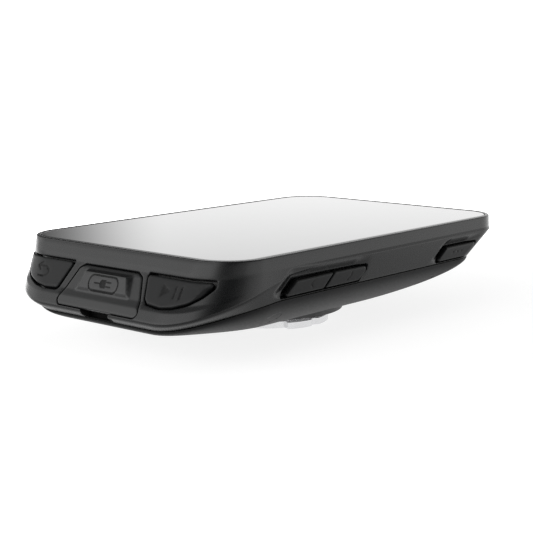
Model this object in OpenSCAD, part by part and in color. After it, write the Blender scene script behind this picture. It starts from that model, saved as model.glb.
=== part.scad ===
// Bicycle computer with a touch screen, five keys and a quarter-turn foot.
// Origin: centre of the quarter-turn foot's underside. +Y is the far end of
// the screen, +X the right-hand side, +Z out of the glass. Millimetres.

/* [Body] */
// Width of the top face
top_w = 63.6; // [62:0.1:66]
// Length of the top face
top_l = 100; // [98:0.5:104]
// Height from the foot's underside to the top face
body_h = 22; // [21.5:0.1:23]
// How far the top face's centre lies beyond the foot's centre
body_shift = 3; // [2:0.5:4]
// Plan radius of the top face's corners
top_r = 9.5; // [8:0.5:11]
// Height of the plain band round the top
band_h = 2.7; // [2.4:0.1:3]
// Wall of the sides and the back
wall = 2.4; // [2.2:0.1:2.6]

/* [Chin] */
// How far the chin stands out in front of the top face
chin_reach = 6.9; // [6:0.1:7.5]
// Plan radius of the chin's corners
chin_r = 16; // [14:0.5:18]
// How far the chin's lower edge hangs below the top face
chin_depth = 12.75; // [12:0.05:13.5]
// Wall of the chin's front
chin_wall = 3.4; // [3.2:0.1:3.8]

/* [Rear cover] */
// Depth of the parting line below the top face, along the sides
part_depth = 8.95; // [8.6:0.05:9.3]
// How much deeper the parting line runs under the chin
part_drop = 5.4; // [5:0.1:5.8]
// Width of the flat under the belly
keel_w = 35.8; // [34:0.2:37]
// Depth of the flat below the top face
keel_depth = 17.9; // [17.6:0.1:18.1]

/* [Quarter-turn foot] */
// Radius of the foot's disc
foot_r = 12.9; // [12.7:0.05:13.1]
// Radius over the two lugs
lug_r = 14.6; // [14.4:0.05:14.8]
// Thickness of the lugs
lug_t = 1.5; // [1.4:0.05:1.6]
// Half angle of each lug
lug_half_angle = 30; // [26:1:34]
// Radius of the neck between the foot and its pad
neck_r = 11.2; // [11:0.1:11.6]
// Radius of the pad above the foot
pad_r = 17.8; // [17:0.1:18.4]

/* [Keys and flap] */
// Room round the flap's hinge edge
roll_gap = 0.3; // [0.25:0.05:0.35]
// How far a key's face stands out of the wall
key_proud = 0.15; // [0.1:0.05:0.2]
// Thickness of a key's cap
key_t = 1.1; // [1:0.05:1.2]
// Travel of the two front keys
front_travel = 0.4; // [0.3:0.05:0.4]
// Travel of the three side keys
side_travel = 0.35; // [0.25:0.05:0.35]
// Thickness of the port's flap
flap_t = 1.2; // [1.1:0.05:1.3]

/* [Hidden] */

$fn = 48;
slack = 0.05;
cut = 1;

// --- outlines and lofts of the body ---------------------------------------

// Number of steps along each stretch of half an outline
front_n = 2;
chin_n = 8;
side_n = 6;
back_r_n = 6;
back_n = 2;
half_n = front_n + chin_n + side_n + back_r_n + back_n;

// Half widths, front and back reach and corner radii of the four outlines,
// measured from the middle of the top face
top_o = [top_w / 2, top_l / 2, top_l / 2, top_r, top_r];
band_o = [top_w / 2 + 0.1, top_l / 2 + 1, top_l / 2 + 0.05, top_r + 1, top_r];
lip_o = [top_w / 2 + 0.3, top_l / 2 + chin_reach, top_l / 2 + 0.1, chin_r, top_r];
part_o = [top_w / 2 - 0.7, top_l / 2 + chin_reach - 2.2, 42.8, 17, 11.6];
keel_o = [keel_w / 2, 42.4, 14.4, 17.2, 9];

function grown(o, d) = [o[0] + d, o[1] + d, o[2] + d, o[3] + d, o[4] + d];
function inset(o, d, f) = [o[0] - d, o[1] - f, o[2] - d, o[3] - d, o[4] - d];
function mix(a, b, t) = a + (b - a) * t;
function clamp01(t) = max(0, min(1, t));

function half_outline(o) =
    let (hw = o[0], yf = o[1], yb = o[2], rf = o[3], rb = o[4])
    concat(
        [for (i = [0:front_n]) [(hw - rf) * i / front_n, -yf]],
        [for (i = [1:chin_n]) let (a = 90 * i / chin_n)
            [hw - rf + rf * sin(a), -yf + rf - rf * cos(a)]],
        [for (i = [1:side_n]) [hw, mix(rf - yf, yb - rb, i / side_n)]],
        [for (i = [1:back_r_n]) let (a = 90 * i / back_r_n)
            [hw - rb + rb * cos(a), yb - rb + rb * sin(a)]],
        [for (i = [1:back_n]) [(hw - rb) * (1 - i / back_n), yb]]
    );

function full_outline(o) =
    let (h = half_outline(o))
    concat(h, [for (i = [half_n - 1:-1:1]) [-h[i].x, h[i].y]]);

// Length along the chin's edge from the front centre to each station
function edge_length(i) =
    let (o = lip_o, straight = o[0] - o[3], bend = o[3] * PI / 2)
    i <= front_n ? straight * i / front_n :
    i <= front_n + chin_n ? straight + bend * (i - front_n) / chin_n :
    straight + bend + (o[1] + o[2] - o[3] - o[4])
        * min(1, (i - front_n - chin_n) / side_n);

// The chin's fall: 1 at the front, fading to 0 along the sides
chin_flat = 17;
chin_run = 50;
function fall(i) =
    let (t = clamp01((edge_length(i) - chin_flat) / chin_run))
    pow(1 - t, 3) * (1 + 3 * t);
falls = let (h = [for (i = [0:half_n]) fall(i)])
    concat(h, [for (i = [half_n - 1:-1:1]) h[i]]);

side_lip = 0.6;
function lip_z(f) = body_h - band_h - side_lip
    - (chin_depth - band_h - side_lip) * f;
function part_z(f) = body_h - part_depth - part_drop * f;
keel_z = body_h - keel_depth;

function lifted(points, z) =
    [for (i = [0:len(points) - 1])
        [points[i].x, points[i].y + body_shift, is_list(z) ? z[i] : z]];
function blended(a, b, t) = [for (i = [0:len(a) - 1]) mix(a[i], b[i], t)];

lip_zs = [for (f = falls) lip_z(f)];
part_zs = [for (f = falls) part_z(f)];

// A closed solid through a stack of rings, lowest first
module loft(rings) {
    n = len(rings[0]);
    m = len(rings);
    low = [0, body_shift, rings[0][half_n].z];
    top = [0, body_shift, rings[m - 1][half_n].z];
    points = concat([for (r = rings) each r], [low, top]);
    sides = [for (k = [0:m - 2], i = [0:n - 1])
        let (j = (i + 1) % n, a = k * n, b = a + n)
        each [[a + i, b + j, a + j], [a + i, b + i, b + j]]];
    floor_fan = [for (i = [0:n - 1]) [m * n, i, (i + 1) % n]];
    roof_fan = [for (i = [0:n - 1])
        [m * n + 1, (m - 1) * n + (i + 1) % n, (m - 1) * n + i]];
    polyhedron(points, concat(sides, floor_fan, roof_fan), convexity = 6);
}

// The upper body between the parting line and the top face, grown by d
knee = 0.63;
module upper_body(d) {
    top = full_outline(grown(top_o, d));
    band = full_outline(grown(band_o, d));
    lip = full_outline(grown(lip_o, d));
    part = full_outline(grown(part_o, d));
    knee_zs = [for (z = lip_zs) mix(body_h - band_h, z, knee)];
    loft([
        lifted(part, part_zs),
        lifted(lip, lip_zs),
        lifted(blended(band, lip, knee), knee_zs),
        lifted(band, body_h - band_h),
        lifted(top, body_h)
    ]);
}

// Where the glass and the display pass through the upper body
ledge_z = body_h - 1.3;
ledge_t = 1.3;
glass_inset = 1;
window_inset = 3.6;
module plate(o, z0, z1) {
    // rounded rectangle with equal corners
    r = o[2];
    translate([0, body_shift, z0])
        linear_extrude(z1 - z0)
            union() {
                square([2 * o[0], 2 * (o[1] - r)], center = true);
                square([2 * (o[0] - r), 2 * o[1]], center = true);
                for (x = [-1, 1], y = [-1, 1])
                    translate([x * (o[0] - r), y * (o[1] - r)])
                        circle(r);
            }
}
function face_plate(d) = [top_w / 2 - d, top_l / 2 - d, top_r - d];

// Inner edge of both housings at the parting line, drawn in by d
function hollow_edge(d) = full_outline(inset(part_o, wall + d, chin_wall + d));

// The hollow of the upper body
module upper_hollow() {
    part = hollow_edge(0);
    lip = full_outline(inset(lip_o, wall, chin_wall));
    band = full_outline(inset(band_o, wall, chin_wall));
    loft([
        lifted(part, [for (z = part_zs) z - cut]),
        lifted(part, part_zs),
        lifted(lip, [for (z = lip_zs) z + 0.6]),
        lifted(band, ledge_z - ledge_t)
    ]);
}

// Rings of the belly, from the parting line (u = 0) to the keel (u = 90)
belly_steps = [0, 12, 26, 40, 54, 66, 78, 90];
function belly_ring(o_part, o_keel, z_keel, u, rise) =
    let (a = full_outline(o_part), b = full_outline(o_keel),
         h = 1 - pow(cos(u), 1.76), v = pow(sin(u), 1.26))
    [for (i = [0:len(a) - 1])
        let (p = mix(a[i], b[i], h))
        [p.x, p.y + body_shift, mix(part_zs[i] + rise, z_keel, v)]];

module belly(o_part, o_keel, z_keel, rise) {
    loft([for (i = [len(belly_steps) - 1:-1:0])
        belly_ring(o_part, o_keel, z_keel, belly_steps[i], rise)]);
}

// --- placing ---------------------------------------------------------------

// The front keys press along the normal of the leaning front face
key_lean = 31.5;
front_key_x = 18.8;
front_face = [0, -50.75, 15.6];
module on_front(x) {
    translate([x, front_face.y, front_face.z])
        rotate([-90 - key_lean, 0, 0])
            children();
}
// The side keys press straight inwards
side_face_x = 31.45;
side_key_z = 14.9;
page_back_y = -22.6;
page_next_y = -10;
menu_y = 31;
module on_side(y) {
    translate([side_face_x, y, side_key_z])
        rotate([0, -90, 0])
            children();
}

// Prisms through the front face and through the right-hand side
module front_prism(points) {
    translate([0, -40, 0])
        rotate([90, 0, 0])
            linear_extrude(20)
                polygon(points);
}
module side_prism(points) {
    translate([27, 0, 0])
        rotate([90, 0, 90])
            linear_extrude(8)
                polygon(points);
}
function mirrored(points) = [for (p = points) [-p.x, p.y]];

// Outlines as x, z on the front and y, z on the side: the key and its pocket
start_shape = [[10.7, 18.15], [12.9, 13.3], [13.8, 12.75], [17.5, 12.6],
    [20.6, 12.9], [24, 13.8], [26.8, 15.3], [28.4, 16.9], [28.9, 18.15]];
start_pocket = [[10.3, 18.45], [12.55, 13.1], [13.7, 12.4], [17.5, 12.2],
    [20.7, 12.5], [24.2, 13.45], [27.1, 15.05], [28.8, 16.8], [29.3, 18.45]];
flap_shape = [[-8, 18], [-9.2, 17.5], [-12.1, 10.7], [-11.4, 10],
    [11.4, 10], [12.1, 10.7], [9.2, 17.5], [8, 18]];
flap_pocket = [[-9.2, 18.75], [-9.75, 18.2], [-9.7, 17.3], [-12.45, 10.6],
    [-11.5, 9.7], [11.5, 9.7], [12.45, 10.6], [9.7, 17.3], [9.75, 18.2],
    [9.2, 18.75]];
page_back_shape = [[-27.5, 16.3], [-15.1, 16.4], [-17.9, 13.25], [-30.6, 13.25]];
page_back_pocket = [[-28.2, 16.6], [-14.6, 16.7], [-17.45, 12.95], [-31.6, 12.95]];
page_next_shape = [[-14.1, 16.4], [-2.1, 16.3], [-5.9, 13.3], [-16.9, 13.3]];
page_next_pocket = [[-14.6, 16.7], [-1.1, 16.7], [-5.4, 13], [-17.45, 12.95]];
menu_shape = [[27.7, 16.3], [41.5, 16.3], [39, 13.4], [24.6, 13.4]];
menu_pocket = [[27.5, 16.6], [42.4, 16.6], [39.3, 13.1], [23.9, 13.1]];

// --- upper body -------------------------------------------------------------

// Housing screws: [y, height where the two bosses meet]
screw_x = 26.8;
screw_rows = [[-30, 12.3], [25, 13.05]];
boss_r = 2.6;
post_r = 3.6;
pilot_r = 0.8;
boss_top_z = 16.8;

// The key's stem and what it passes through
stem_r = 1.3;
stem_hole_r = 1.6;
front_stem_l = 4.2;
side_stem_l = 3.4;

// Port: a socket shell on the board, seen through a slot in the chin
port_z = 15.2;
port_w = 8.94;
port_h = 3.2;
port_mouth_y = -47.75;
port_back_y = -40.6;
module slot_2d(w, h) {
    square([w - h, h], center = true);
    for (x = [-1, 1])
        translate([x * (w - h) / 2, 0])
            circle(h / 2);
}
module port_slot(w, h, y0, y1) {
    translate([0, y1, port_z])
        rotate([90, 0, 0])
            linear_extrude(y1 - y0)
                slot_2d(w, h);
}
// The flap's round top edge turns in a groove of the chin
roll_y = -48.05;
roll_z = 17.7;
roll_r = 0.55;
roll_l = 15.6;
module flap_axis(r, l) {
    translate([-l / 2, roll_y, roll_z])
        rotate([0, 90, 0])
            cylinder(h = l, r = r);
}

front_pocket_d = key_t + front_travel * 1.2 + 0.15;
side_pocket_d = key_t + side_travel + 0.1;
flap_pocket_d = flap_t + 0.15;

module front_housing() {
    color("#3c3f42")
    union() {
        difference() {
            upper_body(0);
            upper_hollow();
            // seat of the glass and the window below it
            plate(face_plate(glass_inset), ledge_z, body_h + cut);
            plate(face_plate(window_inset), ledge_z - 2 * ledge_t, body_h);
            // pockets of the front keys
            difference() {
                union() {
                    front_prism(start_pocket);
                    front_prism(mirrored(start_pocket));
                }
                upper_body(-front_pocket_d);
            }
            // pocket of the flap
            difference() {
                front_prism(flap_pocket);
                upper_body(-flap_pocket_d);
            }
            flap_axis(roll_r + roll_gap, roll_l + 2 * roll_gap);
            // pockets of the side keys
            difference() {
                union() {
                    side_prism(page_back_pocket);
                    side_prism(page_next_pocket);
                    side_prism(menu_pocket);
                }
                upper_body(-side_pocket_d);
            }
            for (x = [-front_key_x, front_key_x])
                on_front(x) cylinder(h = 8, r = stem_hole_r);
            for (y = [page_back_y, page_next_y, menu_y])
                on_side(y) cylinder(h = 8, r = stem_hole_r);
            // port and the seat of its gasket
            port_slot(port_w + 0.3, port_h + 0.3, -56, -40);
            port_slot(port_w + 1.6, port_h + 1.6, -47.2, -40);
            // slot for the strip that holds the flap
            translate([-5.1, -47.4, 18.1]) cube([10.2, 3, 0.5]);
            // seats of the key seals
            for (x = [-front_key_x, front_key_x])
                on_front(x) translate([0, 0, front_seal_w]) cylinder(h = 5, r = 2.7);
            for (y = [page_back_y, page_next_y, menu_y])
                on_side(y) translate([0, 0, side_seal_w]) cylinder(h = 5, r = 1.95);
            // fingertip notch under the flap
            translate([0, -53.9, 8.6])
                rotate([0, 90, 0])
                    cylinder(h = 8.4, r = 1.5, center = true);
        }
        for (x = [-screw_x, screw_x], row = screw_rows)
            translate([x, row[0], row[1] + slack])
                difference() {
                    cylinder(h = boss_top_z - row[1] - slack, r = boss_r);
                    translate([0, 0, -cut])
                        cylinder(h = 3.4 + cut, r = pilot_r);
                }
    }
}

module cover_glass() {
    color("#8d9398")
        plate(face_plate(glass_inset + 0.12), ledge_z + 0.25, body_h - 0.05);
}

module glass_adhesive() {
    color("#1c1c1c")
    difference() {
        plate(face_plate(glass_inset + 0.3), ledge_z, ledge_z + 0.25);
        plate(face_plate(window_inset + 0.1), ledge_z - cut, ledge_z + cut);
    }
}

// --- display ---------------------------------------------------------------

// Half widths, half lengths and corner radius of the display's layers
touch_z = ledge_z + 0.25;
touch_t = 0.55;
lcd_t = 1.3;
light_t = 1.4;
frame_t = 0.8;
lcd_z = touch_z - touch_t - lcd_t;
light_z = lcd_z - light_t;
frame_z = light_z - frame_t - slack;
display_shift = -3.6;
module layer(w, l, r, z, t) {
    translate([0, display_shift - body_shift, 0])
        plate([w / 2, l / 2, r], z, z + t);
}
module touch_panel() {
    color("#20242c")
        layer(54, 79, 5, touch_z - touch_t, touch_t);
}
module lcd_panel() {
    color("#12161c")
        layer(50.5, 77, 1.2, lcd_z, lcd_t);
}
module backlight() {
    color("#d8dcdf")
        layer(51.5, 77.6, 1.5, light_z, light_t);
}
module display_flex() {
    // ribbon from the display's front edge down to the board
    color("#b5651d")
    translate([13.6, 0, 0])
        rotate([90, 0, -90])
            linear_extrude(8.2)
                polygon([[42.15, 19.6], [42.75, 19.6], [42.75, 14], [39.8, 14],
                    [39.8, 13.6], [43, 13.6], [43, 19.9], [42.15, 19.9]]);
}

board_z = 12.5;
board_t = 1;
board_top = board_z + board_t;
board_screw_x = 21;
board_screw_ys = [-31, 31];
module midframe() {
    color("#9a9ea3")
    difference() {
        union() {
            translate([0, 0, frame_z])
                linear_extrude(frame_t)
                    difference() {
                        translate([-27, -42]) square([54, 86]);
                        translate([-8, -24]) square([16, 18]);
                    }
            for (x = [-board_screw_x, board_screw_x], y = board_screw_ys)
                translate([x, y, board_top])
                    cylinder(h = frame_z - board_top + slack, r = 2);
        }
        for (x = [-board_screw_x, board_screw_x], y = board_screw_ys)
            translate([x, y, board_top - cut])
                cylinder(h = 3.6, r = 0.65);
    }
}

// --- electronics -------------------------------------------------------------

module main_board() {
    color("#1f5a3a")
    difference() {
        union() {
            translate([-25.5, -34, board_z]) cube([51, 68, board_t]);
            translate([-19, -41, board_z]) cube([38, 80, board_t]);
            translate([-6.5, -46.2, board_z]) cube([13, 8, board_t]);
        }
        for (x = [-screw_x, screw_x], row = screw_rows)
            translate([x, row[0], board_z - cut])
                cylinder(h = board_t + 2 * cut, r = post_r + 0.3);
        for (x = [-board_screw_x, board_screw_x], y = board_screw_ys)
            translate([x, y, board_z - cut])
                cylinder(h = board_t + 2 * cut, r = 1);
    }
}
module board_screws() {
    color("#c9ccd0")
    for (x = [-board_screw_x, board_screw_x], y = board_screw_ys)
        translate([x, y, 0]) {
            translate([0, 0, board_z - 0.9]) cylinder(h = 0.9, r = 1.5);
            translate([0, 0, board_z - slack]) cylinder(h = 3.2, r = 0.75);
        }
}
module can(x, y, w, l, h) {
    translate([x - w / 2, y - l / 2, board_top])
        difference() {
            cube([w, l, h]);
            translate([0.3, 0.3, -cut]) cube([w - 0.6, l - 0.6, h - 0.3 + cut]);
        }
}
module processor_can() {
    color("#c4c7ca") can(-9, 2, 22, 20, 1.8);
}
module radio_can() {
    color("#c4c7ca") can(13, 10, 15, 17, 1.6);
}
module gps_antenna() {
    color("#cdbf9c")
        translate([-6, 36.5, frame_z + frame_t]) cube([12, 7.4, 2.6]);
}
module wireless_antenna() {
    color("#c78f35")
        translate([-28, 2, 14]) cube([0.5, 18, 2.6]);
}
module light_sensor() {
    color("#2b2d30")
        translate([12, 39, frame_z + frame_t]) cube([3, 3, 1.1]);
}
module buzzer() {
    color("#1b1b1c")
    translate([14, -22, board_top])
        difference() {
            cylinder(h = 2.4, r = 6.4);
            translate([0, 0, 1.6]) cylinder(h = cut, r = 1);
        }
}
module usb_port() {
    color("#b9bdc1")
    union() {
        difference() {
            port_slot(port_w, port_h, port_mouth_y, port_back_y);
            port_slot(port_w - 0.6, port_h - 0.6, port_mouth_y - cut, port_back_y - 1);
        }
        // tongue with the contacts
        translate([-3.3, port_mouth_y + 0.6, port_z - 0.35])
            cube([6.6, port_back_y - 0.9 - port_mouth_y, 0.7]);
    }
}
module port_gasket() {
    color("#151515")
    difference() {
        port_slot(port_w + 1.5, port_h + 1.5, -47.15, -46.3);
        port_slot(port_w + slack, port_h + slack, -48, -45);
    }
}

// --- flap --------------------------------------------------------------------

plateau_top_z = 17.3;
plateau_base_z = 13;
module port_flap() {
    color("#47494b")
    union() {
        difference() {
            intersection() {
                front_prism(flap_shape);
                upper_body(0);
            }
            upper_body(-flap_t);
            // room for the round edge
            translate([-20, -60, roll_z - 0.3]) cube([40, 20, 5]);
        }
        flap_axis(roll_r, roll_l);
        // raised panel, steeper than the face it grows from
        rotate([90, 0, 90])
            translate([0, 0, -6.9])
                linear_extrude(13.8)
                    polygon([[-48.5, plateau_top_z], [-49.75, plateau_top_z],
                        [-51.5, plateau_base_z], [-50.9, plateau_base_z]]);
        // plug that closes the socket
        port_slot(port_w - 1.2, port_h - 1.2, -50, port_mouth_y + 0.5);
    }
}
module flap_anchor() {
    // strip behind the round edge that ties the flap to the chin
    color("#2e3032")
        translate([-5, -47.2, 18.15]) cube([10, 2.6, 0.4]);
}

// --- keys --------------------------------------------------------------------

module key_cap() {
    difference() {
        intersection() {
            children();
            upper_body(key_proud);
        }
        upper_body(-key_t);
    }
}
module front_key(side) {
    union() {
        key_cap()
            front_prism(side > 0 ? start_shape : mirrored(start_shape));
        on_front(side * front_key_x)
            translate([0, 0, 0.4]) cylinder(h = front_stem_l - 0.4, r = stem_r);
    }
}
module side_key(points, y) {
    union() {
        key_cap() side_prism(points);
        on_side(y)
            translate([0, 0, 0.3]) cylinder(h = side_stem_l - 0.3, r = stem_r);
    }
}
module back_key() {
    color("#2f3133") front_key(-1);
}
module start_key() {
    color("#2f3133") front_key(1);
}
module page_back_key() {
    color("#2f3133") side_key(page_back_shape, page_back_y);
}
module page_next_key() {
    color("#2f3133") side_key(page_next_shape, page_next_y);
}
module menu_key() {
    color("#2f3133") side_key(menu_shape, menu_y);
}

module washer(r, hole_r, z0, z1) {
    translate([0, 0, z0])
        difference() {
            cylinder(h = z1 - z0, r = r);
            translate([0, 0, -cut]) cylinder(h = z1 - z0 + 2 * cut, r = hole_r);
        }
}
front_seal_w = 3.1;
side_seal_w = 2.55;
module key_seals() {
    color("#101010")
    union() {
        for (x = [-front_key_x, front_key_x])
            on_front(x) washer(2.6, stem_r + slack, front_seal_w, front_seal_w + 0.4);
        for (y = [page_back_y, page_next_y, menu_y])
            on_side(y) washer(1.85, stem_r + slack, side_seal_w, side_seal_w + 0.4);
    }
}

// A small push switch: plunger towards the key, body, backing plate
module push_switch(tip, w, l, body_t) {
    translate([0, 0, tip]) cylinder(h = 0.7, r = 0.8);
    translate([-w / 2, -l / 2, tip + 0.6]) cube([w, l, body_t]);
}
module front_switches() {
    color("#26282a")
    for (x = [-front_key_x, front_key_x])
        on_front(x)
            union() {
                push_switch(front_stem_l + front_travel + 0.1, 4.6, 3.6, 1.4);
                translate([-4.5, -2.4, front_stem_l + front_travel + 2])
                    cube([9, 4.8, 0.5]);
            }
}
module side_switches() {
    color("#26282a")
    for (y = [page_back_y, page_next_y, menu_y])
        on_side(y) push_switch(side_stem_l + side_travel + 0.1, 2.6, 4.6, 1.6);
}

// --- lower body ----------------------------------------------------------------

screw_seat_z = 11.5;
screw_head_h = 1.3;
screw_hole_r = 2.3;
foot_screw_r = 7.2;
foot_screw_angles = [45, 135, 225, 315];
vent_at = [7, -31];
module rear_housing() {
    color("#45484b")
    difference() {
        union() {
            difference() {
                belly(part_o, keel_o, keel_z, -slack);
                belly(inset(part_o, wall, chin_wall), inset(keel_o, 1.8, 1.8),
                    keel_z + 1.8, 0);
                // open the top
                loft([
                    lifted(hollow_edge(0), [for (z = part_zs) z - 0.6]),
                    lifted(hollow_edge(0), [for (z = part_zs) z + cut])
                ]);
            }
            intersection() {
                belly(grown(part_o, -1), grown(keel_o, -1), keel_z + 0.5, -0.15);
                for (x = [-screw_x, screw_x], row = screw_rows)
                    translate([x, row[0], keel_z])
                        cylinder(h = row[1] - slack - keel_z, r = post_r);
            }
        }
        for (x = [-screw_x, screw_x], row = screw_rows)
            translate([x, row[0], 0]) {
                cylinder(h = screw_seat_z, r = screw_hole_r);
                cylinder(h = 20, r = 1.15);
            }
        for (a = foot_screw_angles)
            rotate([0, 0, a])
                translate([foot_screw_r, 0, 0]) cylinder(h = 8, r = 1.3);
        translate([vent_at.x, vent_at.y, 0]) cylinder(h = 8, r = 0.6);
    }
}
module housing_seal() {
    // soft cord inside the parting line, in four runs between the screws
    color("#0e0e0e")
    difference() {
        loft([
            lifted(hollow_edge(0.35), [for (z = part_zs) z - 0.1]),
            lifted(hollow_edge(0.35), [for (z = part_zs) z + 0.5])
        ]);
        loft([
            lifted(hollow_edge(0.95), [for (z = part_zs) z - 2]),
            lifted(hollow_edge(0.95), [for (z = part_zs) z + 2])
        ]);
        for (x = [-screw_x, screw_x], row = screw_rows)
            translate([x, row[0], 0]) cylinder(h = body_h, r = post_r + 0.1);
    }
}
module housing_screws() {
    color("#3a3c3e")
    for (x = [-screw_x, screw_x], row = screw_rows)
        translate([x, row[0], 0])
            difference() {
                union() {
                    translate([0, 0, screw_seat_z - screw_head_h])
                        cylinder(h = screw_head_h, r = 1.9);
                    translate([0, 0, screw_seat_z - slack])
                        cylinder(h = 4.3, r = 0.95);
                }
                // hexagon socket
                translate([0, 0, screw_seat_z - screw_head_h - cut])
                    cylinder(h = 0.8 + cut, r = 0.85, $fn = 6);
            }
}
module screw_plugs() {
    // press-in plugs that close the screw holes, flush with the belly
    color("#1a1a1a")
    intersection() {
        belly(part_o, keel_o, keel_z, -0.15);
        for (x = [-screw_x, screw_x], row = screw_rows)
            translate([x, row[0], 0])
                cylinder(h = screw_seat_z - screw_head_h - 2 * slack, r = screw_hole_r - slack);
    }
}
plate_z = keel_z + 1.8 + slack;
module foot_plate() {
    // steel plate inside that takes the foot's screws
    color("#a7abae")
    difference() {
        translate([-11, -11, plate_z]) cube([22, 22, 1.2]);
        for (a = foot_screw_angles)
            rotate([0, 0, a])
                translate([foot_screw_r, 0, plate_z - cut])
                    cylinder(h = 1.2 + 2 * cut, r = 0.95);
    }
}
battery_z = plate_z + 1.2 + 0.35;
module battery_pad() {
    color("#e2e0d8")
        translate([-12, -28, plate_z + 1.2]) cube([24, 36, 0.3]);
}
module battery() {
    color("#b8bcc0")
    union() {
        translate([-16, -36, battery_z]) cube([32, 49, 4.7]);
        // folded edge with the leads
        translate([-12, 13, battery_z + 1.4]) cube([24, 2.4, 1.8]);
    }
}
module battery_plug() {
    color("#e9e6da")
        translate([-4, 16.6, board_z - 2.4]) cube([8, 4, 2.35]);
}
module vent_membrane() {
    color("#d9d9d6")
        translate([vent_at.x, vent_at.y, keel_z + 1.8]) cylinder(h = 0.3, r = 2.4);
}

// --- quarter-turn foot -----------------------------------------------------------

module foot_pad() {
    color("#2a2b2d")
    difference() {
        translate([0, 0, lug_t + 1.45])
            cylinder(h = keel_z - lug_t - 1.45, r = pad_r);
        cylinder(h = 10, r = 9.6);
    }
}
module lug(angle) {
    // ring sector with the disc, cut to the lug's width
    rotate([0, 0, angle])
        intersection() {
            circle(lug_r);
            polygon([[0, 0],
                [2 * lug_r, -2 * lug_r * tan(lug_half_angle)],
                [2 * lug_r, 2 * lug_r * tan(lug_half_angle)]]);
        }
}
foot_top_z = keel_z;
module quarter_turn_foot() {
    color("#c9cbcc")
    difference() {
        union() {
            linear_extrude(lug_t)
                difference() {
                    union() {
                        circle(foot_r, $fn = 96);
                        lug(0);
                        lug(180);
                    }
                    // detent notches
                    for (x = [-1, 1])
                        translate([x * (lug_r + 0.5), 0]) circle(1.3);
                }
            cylinder(h = lug_t + 1.45, r = neck_r);
            cylinder(h = foot_top_z, r = 9.5);
        }
        for (a = foot_screw_angles)
            rotate([0, 0, a])
                translate([foot_screw_r, 0, 0]) {
                    translate([0, 0, -cut]) cylinder(h = 10, r = 1.3);
                    translate([0, 0, -cut]) cylinder(h = cut + 1.5, r = 2.4);
                }
    }
}
module foot_screws() {
    color("#b2b5b8")
    for (a = foot_screw_angles)
        rotate([0, 0, a])
            translate([foot_screw_r, 0, 0])
                difference() {
                    union() {
                        translate([0, 0, 0.25]) cylinder(h = 1.25, r = 2.2);
                        translate([0, 0, 1.4]) cylinder(h = 5.5, r = 1.05);
                    }
                    translate([0, 0, -cut])
                        cylinder(h = 0.9 + cut, r = 1, $fn = 6);
                }
}

front_housing();
rear_housing();
housing_seal();
housing_screws();
screw_plugs();
cover_glass();
glass_adhesive();
touch_panel();
lcd_panel();
backlight();
display_flex();
midframe();
main_board();
board_screws();
processor_can();
radio_can();
gps_antenna();
wireless_antenna();
light_sensor();
buzzer();
usb_port();
port_gasket();
port_flap();
flap_anchor();
back_key();
start_key();
page_back_key();
page_next_key();
menu_key();
key_seals();
front_switches();
side_switches();
battery();
battery_pad();
battery_plug();
vent_membrane();
foot_plate();
foot_pad();
quarter_turn_foot();
foot_screws();
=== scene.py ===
"""Looks of the cycling computer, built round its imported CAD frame. Shape code is in millimetres."""
import math

import bmesh
import bpy
import numpy as np
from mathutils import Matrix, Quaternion, Vector
from mathutils.geometry import delaunay_2d_cdt


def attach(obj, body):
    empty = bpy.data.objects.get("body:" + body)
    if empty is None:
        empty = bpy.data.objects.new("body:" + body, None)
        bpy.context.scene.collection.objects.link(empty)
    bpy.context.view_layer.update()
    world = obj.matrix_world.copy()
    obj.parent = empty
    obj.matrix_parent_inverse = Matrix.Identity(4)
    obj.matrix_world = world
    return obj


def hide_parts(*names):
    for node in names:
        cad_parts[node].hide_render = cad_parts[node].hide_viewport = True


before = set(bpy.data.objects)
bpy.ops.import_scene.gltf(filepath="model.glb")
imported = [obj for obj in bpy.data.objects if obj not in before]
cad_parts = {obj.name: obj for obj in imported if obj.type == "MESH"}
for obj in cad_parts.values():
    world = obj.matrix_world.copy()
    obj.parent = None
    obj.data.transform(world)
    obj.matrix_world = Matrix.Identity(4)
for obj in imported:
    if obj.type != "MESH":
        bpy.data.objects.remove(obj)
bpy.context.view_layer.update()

MM = 0.001

# --- driving sizes ----------------------------------------------------------------------------
# PART_DEPTH and PART_DROP set the crease a little apart from the CAD model's.

BODY_H = 22.0
SHIFT = 3.0
BAND_Z = BODY_H - 2.7
SIDE_LIP = 0.6
LIP_DEPTH = 12.75
PART_DEPTH = 9.25
PART_DROP = 5.1
LIP_RUN = 50.0
PART_RUN = 32.0
KEEL_Z = BODY_H - 17.9
WALL = 2.4
FRONT_WALL = 3.4
LEDGE_Z = BODY_H - 1.3
GLASS_INSET = 1.0
GLASS_EDGE = 1.12
WINDOW_INSET = 3.6

# Outlines: half width, front and back reach, front and back corner radius
TOP = (31.8, 50.0, 50.0, 9.5, 9.5)
BAND = (31.9, 51.0, 50.05, 10.5, 9.5)
LIP = (32.1, 56.9, 50.1, 16.0, 9.5)
PART = (31.1, 54.7, 42.8, 17.0, 11.6)
KEEL = (17.9, 42.4, 14.4, 17.2, 9.0)


def mix(a, b, t):
    return a + (b - a) * t


def ease(t):
    t = np.clip(t, 0, 1)
    return t * t * (3 - 2 * t)


# --- the body's surface as a function of s, the length round it, and z -------------------------

def stretches(o):
    hw, yf, yb, rf, rb = o
    return np.array([hw - rf, rf * math.pi / 2, yf + yb - rf - rb, rb * math.pi / 2, hw - rb])


MARKS = np.concatenate([[0], np.cumsum(stretches(LIP))])
HALF = MARKS[-1]


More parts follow.
